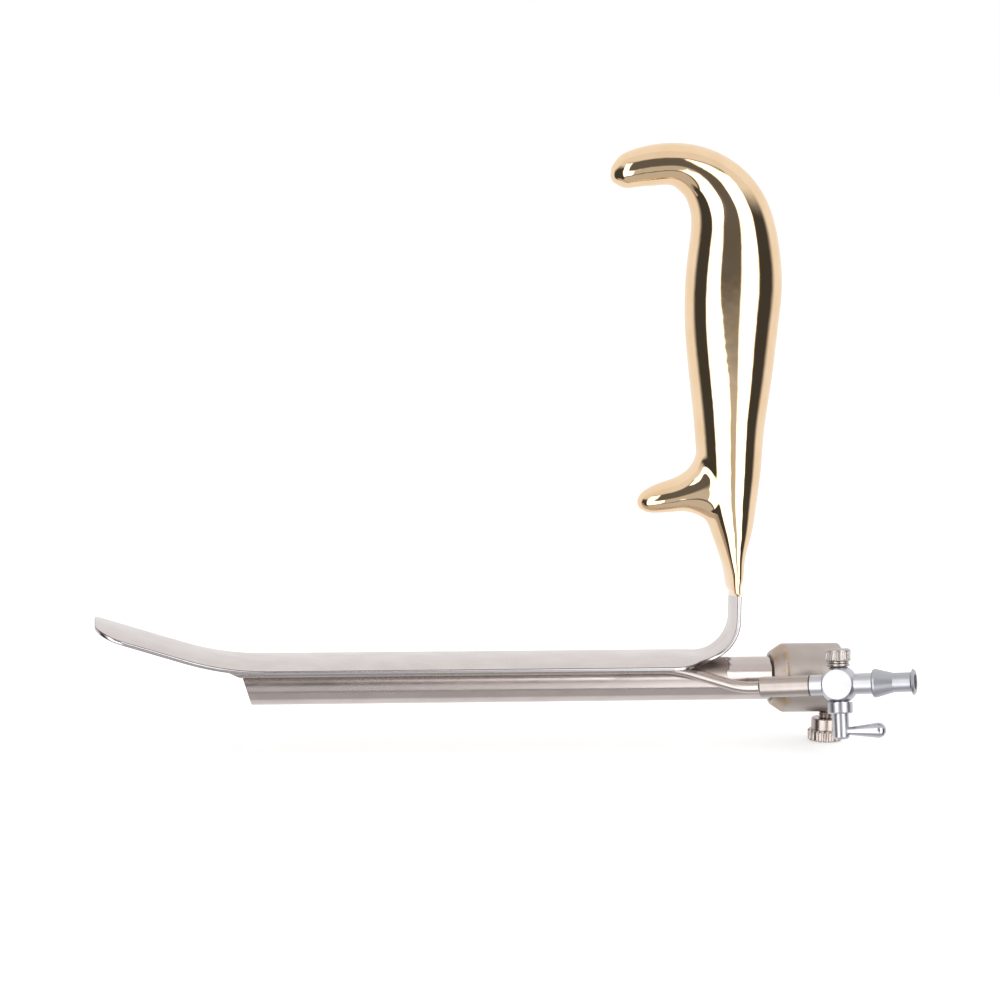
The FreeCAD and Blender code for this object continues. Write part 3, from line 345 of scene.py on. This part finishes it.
def studio_light(tree, azimuth, height):
    """Brightness of the studio in one direction: backdrop, softboxes, gap, sides and table."""
    table = tree.ramp(height, *TABLE_HEIGHTS)
    left_edge = tree.blend(table, LEFT_BOX[1], LEFT_BOX_FOOT)
    left = tree.ramp(tree.math("SUBTRACT", azimuth, left_edge), EDGE_BLUR, -EDGE_BLUR)
    left_start = tree.ramp(azimuth, LEFT_BOX[0] - EDGE_BLUR, LEFT_BOX[0] + EDGE_BLUR)
    left = tree.math("MULTIPLY", left, left_start)
    right_edge = tree.blend(tree.ramp(height, *UPPER_HEIGHTS), RIGHT_BOX[0], RIGHT_BOX_UPPER)
    right = tree.ramp(tree.math("SUBTRACT", azimuth, right_edge), -EDGE_BLUR, EDGE_BLUR)
    right_end = tree.ramp(azimuth, RIGHT_BOX[1] + EDGE_BLUR, RIGHT_BOX[1] - EDGE_BLUR)
    boxes = tree.math("MULTIPLY_ADD", right, right_end, left)
    boxes = tree.math("MULTIPLY", boxes, tree.band(height, *BOX_HEIGHTS, EDGE_BLUR))
    gap = tree.blend(table, GAP_LIGHT, TABLE_LIGHT)
    gap = tree.blend(tree.band(height, *TABLE_LINE, EDGE_BLUR / 2.0), gap, GAP_LIGHT)
    side = tree.blend(tree.ramp(height, *SIDE_HEIGHTS), SIDE_LIGHT, CEILING_LIGHT)
    inside = tree.band(azimuth, LEFT_BOX[0], RIGHT_BOX[1], EDGE_BLUR)
    light = tree.blend(inside, side, gap)
    light = tree.blend(tree.ramp(height, *DEEP_HEIGHTS), light, TABLE_LIGHT)
    light = tree.blend(boxes, light, BOX_LIGHT)
    light = tree.blend(tree.ramp(height, *CEILING_HEIGHTS), light, CEILING_LIGHT)
    behind = tree.ramp(tree.math("ABSOLUTE", azimuth), *BACKDROP_EDGES)
    return tree.blend(behind, light, BACKDROP_LIGHT)


def make_studio():
    """A white backdrop behind the object, two tall softboxes beside the camera, dark sides."""
    world = bpy.data.worlds.new("studio")
    bpy.context.scene.world = world
    world.use_nodes = True
    tree = Tree(world.node_tree)
    direction = tree.split(tree.node("ShaderNodeTexCoord").outputs["Generated"])
    toward_camera = -Vector(CAMERA_FORWARD)
    heading = math.atan2(toward_camera.x, -toward_camera.y)
    spin = tree.math("ARCTAN2", direction["X"], tree.math("MULTIPLY", direction["Y"], -1.0))
    spin = tree.math("WRAP", tree.math("SUBTRACT", spin, heading), math.pi, -math.pi)
    azimuth = tree.math("DEGREES", spin)
    height = tree.math("DEGREES", tree.math("ARCSINE", direction["Z"]))
    light = studio_light(tree, azimuth, height)
    path = tree.node("ShaderNodeLightPath")
    light = tree.blend(path.outputs["Is Camera Ray"], light, 1.0)
    back = tree.node("ShaderNodeBackground")
    back.inputs["Color"].default_value = WHITE
    tree.join(light, back.inputs["Strength"])
    out = tree.node("ShaderNodeOutputWorld")
    tree.join(back.outputs[0], out.inputs["Surface"])


# Materials

GOLD_COLOUR = rgb(243, 214, 178)
GOLD_TINT = rgb(238, 207, 168)
# Painted shade: the dark line along the blade's rounded edge
RIM_SHADE_LINE_COLOUR = rgb(96, 88, 94)
RIM_EDGE_COLOUR = rgb(206, 202, 203)
# Painted shade under the blade's bend, in the brown of a braze stain
STAIN_AND_SHADE_COLOUR = rgb(128, 112, 104)
OUTLINE_COLOUR = rgb(92, 78, 70)
HEAT_COLOUR = rgb(182, 152, 100)
SOLDER_COLOUR = rgb(74, 66, 62)


def make_finish(name, colour, tint, roughness, spread, grain, depth, stretch=None, marks_and_painted_light=None,
                metallic=1.0):
    """A finish whose tint, roughness and fine grain vary, with marks of its making and painted
    shade on top.
    """
    material, tree = new_material(name)
    coordinates = tree.node("ShaderNodeTexCoord")
    place = coordinates.outputs["Object"]
    cloud = tree.noise(place, *CLOUDS)
    fine = tree.noise(place, grain, stretch=stretch)
    base = tree.mix(tree.ramp(cloud, *CLOUD_RANGE), colour, tint)
    both = tree.math("MULTIPLY", tree.math("ADD", fine, cloud), 0.5)
    rough = tree.ramp(both, *CLOUD_RANGE, roughness - spread, roughness + spread, "LINEAR")
    if marks_and_painted_light is not None:
        base, rough = marks_and_painted_light(tree, coordinates, base, rough)
    shader = tree.node("ShaderNodeBsdfPrincipled")
    shader.inputs["Metallic"].default_value = metallic
    tree.join(base, shader.inputs["Base Color"])
    tree.join(rough, shader.inputs["Roughness"])
    bump = tree.node("ShaderNodeBump")
    bump.inputs["Distance"].default_value = depth * MM
    tree.join(fine, bump.inputs["Height"])
    tree.join(bump.outputs["Normal"], shader.inputs["Normal"])
    out = tree.node("ShaderNodeOutputMaterial")
    tree.join(shader.outputs[0], out.inputs["Surface"])
    return material


def blade_marks_and_shade(tree, coordinates, base, rough):
    """The cut edge is polished between two painted lines of shade, and gold creeps onto the tang.
    """
    place = tree.split(coordinates.outputs["Object"])
    normal = tree.split(tree.node("ShaderNodeNewGeometry").outputs["True Normal"])
    aside = tree.math("ABSOLUTE", normal["Y"])
    at_tip = tree.ramp(place["X"], TIP_REACH + TIP_BLUR, TIP_REACH - TIP_BLUR)
    ahead = tree.math("MULTIPLY", tree.math("ABSOLUTE", normal["X"]), at_tip)
    rim = tree.math("MAXIMUM", aside, ahead)
    edge = tree.ramp(rim, *RIM_EDGE)
    # Painted shade: a dark line on the facets of the rounded edge that turn partly aside
    line = tree.band(rim, *RIM_SHADE_LINE, RIM_BLUR)
    base = tree.mix(line, base, RIM_SHADE_LINE_COLOUR)
    base = tree.mix(edge, base, RIM_EDGE_COLOUR)
    rough = tree.blend(edge, rough, RIM_ROUGHNESS)
    level = tree.math("MULTIPLY_ADD", place["Y"], PLATING_SLOPE, place["Z"])
    gold = tree.ramp(level, PLATING_LEVEL - PLATING_BLUR, PLATING_LEVEL + PLATING_BLUR)
    return tree.mix(gold, base, GOLD_COLOUR), tree.blend(gold, rough, PLATING_ROUGHNESS)


def tube_stain_and_shade(tree, coordinates, base, rough):
    """Painted shade under the blade's bend, tinted like a brown braze stain, with a darker
    outline.
    """
    vector = coordinates.outputs["Object"]
    place = tree.split(vector)
    wander = tree.math("SUBTRACT", tree.noise(vector, *STAIN_AND_SHADE_WAVES), 0.5)
    along = tree.math("MULTIPLY_ADD", wander, STAIN_AND_SHADE_WANDER, place["X"])
    upper = tree.ramp(place["Z"], *STAIN_AND_SHADE_HEIGHTS)
    # Painted shade on the tube's top under the blade's bend, tinted like a braze stain
    stain_and_shade = tree.math("MULTIPLY", tree.band(along, *STAIN_AND_SHADE_REACH, STAIN_AND_SHADE_BLUR), upper)
    end = STAIN_AND_SHADE_REACH[1]
    outline = tree.band(along, end - OUTLINE_HALF, end + OUTLINE_HALF, OUTLINE_BLUR)
    outline = tree.math("MULTIPLY", outline, upper)
    base = tree.mix(tree.math("MULTIPLY", stain_and_shade, STAIN_AND_SHADE_SHARE), base, STAIN_AND_SHADE_COLOUR)
    base = tree.mix(tree.math("MULTIPLY", outline, OUTLINE_SHARE), base, OUTLINE_COLOUR)
    return base, tree.blend(stain_and_shade, rough, STAIN_AND_SHADE_ROUGHNESS)


def sleeve_marks(tree, coordinates, base, rough):
    """Dark solder seam where the sleeve meets the stopcock."""
    along = tree.node("ShaderNodeVectorMath", operation="DOT_PRODUCT")
    tree.join(coordinates.outputs["Object"], along.inputs[0])
    along.inputs[1].default_value = FLOW_AXIS
    reach = tree.math("SUBTRACT", along.outputs["Value"], Vector(FLOW_AXIS).dot(Vector(HUB)))
    seam = tree.band(reach, *SOLDER_REACH, SOLDER_BLUR)
    base = tree.mix(tree.math("MULTIPLY", seam, SOLDER_SHARE), base, SOLDER_COLOUR)
    return base, tree.blend(seam, rough, SOLDER_ROUGHNESS)


def socket_marks(tree, coordinates, base, rough):
    """Straw heat tint on the socket's shoulder, left by the brazing."""
    vector = coordinates.outputs["Object"]
    place = tree.split(vector)
    patches = tree.ramp(tree.noise(vector, *HEAT_PATCHES), *HEAT_RANGE)
    heat = tree.math("MULTIPLY", tree.band(place["X"], *HEAT_REACH, HEAT_BLUR), patches)
    return tree.mix(tree.math("MULTIPLY", heat, HEAT_SHARE), base, HEAT_COLOUR), rough


def smooth_casting(node):
    """An even skin over a CAD node, so that a mirror finish shows no facets."""
    body = NODES[node]
    skin = body.modifiers.new("even_skin", "REMESH")
    skin.mode = "VOXEL"
    skin.voxel_size = SKIN_GRAIN
    skin.use_smooth_shade = True
    relax = body.modifiers.new("relaxed_skin", "SMOOTH")
    relax.factor = SKIN_RELAX
    relax.iterations = SKIN_PASSES


def flatten_faces(node):
    """Keeps the shading of a CAD node's broad faces level up to their rounded edges."""
    body = NODES[node]
    even_light = body.modifiers.new("even_light", "WEIGHTED_NORMAL")
    even_light.mode = "FACE_AREA"
    even_light.weight = FACE_WEIGHT


def make_finishes():
    """Each row: name, colour, tint, roughness and its spread, grain and its depth in mm, then
    what stretches the grain, the marks and painted shade on top, and 0 for a finish that isn't
    metal."""
    rows = {
        "gold": ("gold_plating", GOLD_COLOUR, GOLD_TINT, 0.05, 0.015, 700.0, 0.0004),
        "blade": ("blade_satin", rgb(210, 201, 198), rgb(205, 195, 192), 0.24, 0.04,
                  5000.0, 0.004, BRUSHED, blade_marks_and_shade),
        "tube": ("tube_satin", rgb(204, 193, 189), rgb(198, 186, 182), 0.20, 0.04,
                 5000.0, 0.003, BRUSHED, tube_stain_and_shade),
        "socket": ("socket_satin", rgb(190, 179, 173), rgb(184, 172, 166), 0.42, 0.04,
                   5000.0, 0.003, None, socket_marks),
        "line": ("line_steel", rgb(190, 181, 176), rgb(182, 172, 167), 0.25, 0.04,
                 4000.0, 0.002),
        "sleeve": ("sleeve_steel", rgb(184, 175, 170), rgb(177, 167, 162), 0.34, 0.04,
                   4000.0, 0.001, None, sleeve_marks),
        "rings": ("polished_steel", rgb(200, 192, 187), rgb(192, 183, 178), 0.26, 0.05,
                  3000.0, 0.002),
        "nut": ("nut_steel", rgb(198, 191, 187), rgb(190, 182, 178), 0.36, 0.04,
                3000.0, 0.002),
        "screw": ("screw_steel", rgb(184, 174, 168), rgb(176, 165, 159), 0.26, 0.05,
                  3000.0, 0.001),
        "nickel": ("nickel_plating", rgb(203, 203, 209), rgb(197, 197, 203), 0.34, 0.04,
                   7000.0, 0.006),
        "lever": ("lever_plating", rgb(200, 200, 206), rgb(194, 194, 200), 0.26, 0.04,
                  7000.0, 0.004),
        "connector": ("connector_plating", rgb(190, 190, 197), rgb(183, 183, 190), 0.38, 0.04,
                      7000.0, 0.005),
        "plastic": ("pad_plastic", rgb(220, 218, 210), rgb(212, 210, 200), 0.5, 0.05,
                    2000.0, 0.002, None, None, 0.0),
        "braze": ("braze_metal", rgb(120, 106, 96), rgb(92, 78, 68), 0.42, 0.08,
                  1800.0, 0.03),
    }
    return {look: make_finish(*row) for look, row in rows.items()}


# Pieces made here

def new_piece(name, points, faces, material, body):
    """A piece that rides on a body. Points that fall together are joined."""
    mesh = bpy.data.meshes.new(name)
    mesh.from_pydata(points, [], faces)
    mesh.validate()
    mesh.polygons.foreach_set("use_smooth", [True] * len(mesh.polygons))
    mesh.set_sharp_from_angle(angle=math.radians(SHARP_ANGLE))
    mesh.materials.append(material)
    piece = bpy.data.objects.new(name, mesh)
    bpy.context.scene.collection.objects.link(piece)
    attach(piece, body)
    weld = piece.modifiers.new("closed_ends", "WELD")
    weld.merge_threshold = WELD_REACH
    return piece


def ring_faces(rings, steps):
    """Quads between rings of points that follow one another in one list."""
    faces = []
    for ring in range(rings - 1):
        for step in range(steps):
            after = (step + 1) % steps
            low = ring * steps
            high = low + steps
            faces.append((low + step, low + after, high + after, high + step))
    return faces


def make_turned(name, base, axis, levels, material, body):
    """A closed piece round an axis, from levels that give a height and the radii at its steps."""
    axis = Vector(axis).normalized()
    aside = axis.orthogonal().normalized()
    across = axis.cross(aside)
    steps = len(levels[0][1])
    points = []
    for level, radii in levels:
        for step, radius in enumerate(radii):
            angle = 2.0 * math.pi * step / steps
            spoke = aside * math.cos(angle) + across * math.sin(angle)
            points.append(base + axis * level + spoke * radius)
    return new_piece(name, points, ring_faces(len(levels), steps), material, body)


def even(radius, steps):
    return [radius] * steps


def ribbed(radius, ribs, depth, steps):
    """Radii of a rim with round grooves between its ribs."""
    pitch = 2.0 * math.pi / ribs
    radii = []
    for step in range(steps):
        offset = (2.0 * math.pi * step / steps) % pitch - pitch / 2.0
        across = min(1.0, abs(offset) * radius / depth)
        radii.append(radius - depth * math.sqrt(1.0 - across ** 2))
    return radii


def thread_radius(height, angle):
    turns = height / THREAD_PITCH + angle / (2.0 * math.pi)
    wave = abs(2.0 * (turns % 1.0) - 1.0)
    return THREAD_RADIUS - THREAD_DEPTH * wave


def make_thumb_screw(material):
    """Thumb screw with a ribbed head, a plain collar and a cut thread."""
    low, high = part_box("lock_screw")
    base = Vector(((low.x + high.x) / 2.0, (low.y + high.y) / 2.0, 0.0))
    head_radius = (high.y - low.y) / 2.0
    head_top = low.z + SCREW_HEAD_HEIGHT
    collar_top = head_top + SCREW_COLLAR_HEIGHT
    angles = [2.0 * math.pi * step / SCREW_STEPS for step in range(SCREW_STEPS)]
    ribs = ribbed(head_radius, SCREW_RIBS, SCREW_RIB_DEPTH, SCREW_STEPS)
    chamfered = [min(radius, head_radius - SCREW_CHAMFER) for radius in ribs]
    levels = [
        (low.z, even(0.0, SCREW_STEPS)),
        (low.z, chamfered),
        (low.z + SCREW_CHAMFER, ribs),
        (head_top - SCREW_CHAMFER, ribs),
        (head_top, chamfered),
        (head_top, even(SCREW_COLLAR_RADIUS, SCREW_STEPS)),
        (collar_top - SCREW_CHAMFER / 2.0, even(SCREW_COLLAR_RADIUS, SCREW_STEPS)),
        (collar_top, even(SCREW_COLLAR_RADIUS - SCREW_CHAMFER / 2.0, SCREW_STEPS)),
    ]
    count = round((high.z - collar_top) / THREAD_PITCH * THREAD_STEPS)
    for index in range(count + 1):
        level = collar_top + (high.z - collar_top) * index / count
        levels.append((level, [thread_radius(level, angle) for angle in angles]))
    levels.append((high.z, even(PIN_HOLE_RADIUS, SCREW_STEPS)))
    levels.append((high.z - PIN_HOLE_DEPTH, even(PIN_HOLE_RADIUS, SCREW_STEPS)))
    levels.append((high.z - PIN_HOLE_DEPTH, even(0.0, SCREW_STEPS)))
    screw = make_turned("thumb_screw", base, (0.0, 0.0, 1.0), levels, material, "lock_knob")
    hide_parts("lock_screw")


def make_domed_nut(material):
    """Nut of the tap: knurled round its rim, with a smooth round top and a blind hole."""
    shoulder = NUT_TOP - NUT_DOME
    rim = NUT_RADIUS - NUT_DOME
    knurls = ribbed(NUT_RADIUS, NUT_RIBS, NUT_RIB_DEPTH, TAP_STEPS)
    chamfered = [min(radius, NUT_RADIUS - NUT_CHAMFER) for radius in knurls]
    levels = [
        (STUD_END, even(0.0, TAP_STEPS)),
        (STUD_END, even(STUD_RADIUS, TAP_STEPS)),
        (NUT_FOOT, even(STUD_RADIUS, TAP_STEPS)),
        (NUT_FOOT, chamfered),
        (NUT_FOOT + NUT_CHAMFER, knurls),
        (shoulder - NUT_RIB_DEPTH, knurls),
    ]
    for index in range(ARC_STEPS + 1):
        turn = math.pi / 2.0 * index / ARC_STEPS
        radius = rim + NUT_DOME * math.cos(turn)
        levels.append((shoulder + NUT_DOME * math.sin(turn), even(radius, TAP_STEPS)))
    levels.append((NUT_TOP, even(0.0, TAP_STEPS)))
    nut = make_turned("domed_nut", Vector(HUB), TAP_AXIS, levels, material, "tap")
    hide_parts("tap_nut")


def make_tap_rings(material):
    """Washer and spring between stopcock and nut, drawn as the two round rings they show."""
    levels = [(RINGS_FOOT, STUD_RADIUS), (RINGS_FOOT, RINGS_NECK)]
    for middle, radius, half in RINGS:
        for index in range(ARC_STEPS + 1):
            turn = math.pi * (index / ARC_STEPS - 0.5)
            reach = (radius - RINGS_NECK) * math.cos(turn)
            levels.append((middle + half * math.sin(turn), RINGS_NECK + reach))
    levels += [(NUT_FOOT, RINGS_NECK), (NUT_FOOT, STUD_RADIUS), (RINGS_FOOT, STUD_RADIUS)]
    levels = [(level, even(radius, TAP_STEPS)) for level, radius in levels]
    rings = make_turned("tap_rings", Vector(HUB), TAP_AXIS, levels, material, "tap")
    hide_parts("tap_washer", "tap_spring")


def make_braze_seam(material):
    """Uneven fillet of braze metal where the tube enters the socket."""
    points = []
    for ahead, out in SEAM_SECTION:
        for step in range(SEAM_STEPS):
            angle = 2.0 * math.pi * step / SEAM_STEPS
            spot = Vector((math.cos(angle), math.sin(angle), 0.0)) * SEAM_WAVES
            width = SEAM_WIDTH * (1.0 + SEAM_UNEVENNESS * noise.noise(spot))
            radius = TUBE_RADIUS + width * out
            points.append(Vector((SOCKET_FRONT - width * ahead, radius * math.cos(angle),
                                  radius * math.sin(angle))))
    new_piece("socket_braze", points, ring_faces(len(SEAM_SECTION), SEAM_STEPS), material,
              "root")


def dress_nodes(finishes):
    """Gives each CAD node that stays in view its finish, and the two large ones even shading."""
    looks = {
        "handle": "gold",
        "blade": "blade",
        "scope_tube": "tube",
        "scope_socket": "socket",
        "suction_tube": "line",
        "suction_sleeve": "sleeve",
        "stopcock_body": "nickel",
        "tap_key": "nickel",
        "outlet_connector": "connector",
        "tap_lever": "lever",
        "lock_pad": "plastic",
    }
    for node, look in looks.items():
        mesh = NODES[node].data
        mesh.materials.clear()
        mesh.materials.append(finishes[look])
    smooth_casting("handle")
    flatten_faces("blade")


cad_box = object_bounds()
make_camera()
make_floor(cad_box[0].z - FLOOR_DROP)
make_studio()
finishes = make_finishes()
dress_nodes(finishes)
make_thumb_screw(finishes["screw"])
make_domed_nut(finishes["nut"])
make_tap_rings(finishes["rings"])
make_braze_seam(finishes["braze"])

bpy.context.scene.view_settings.view_transform = "Standard"
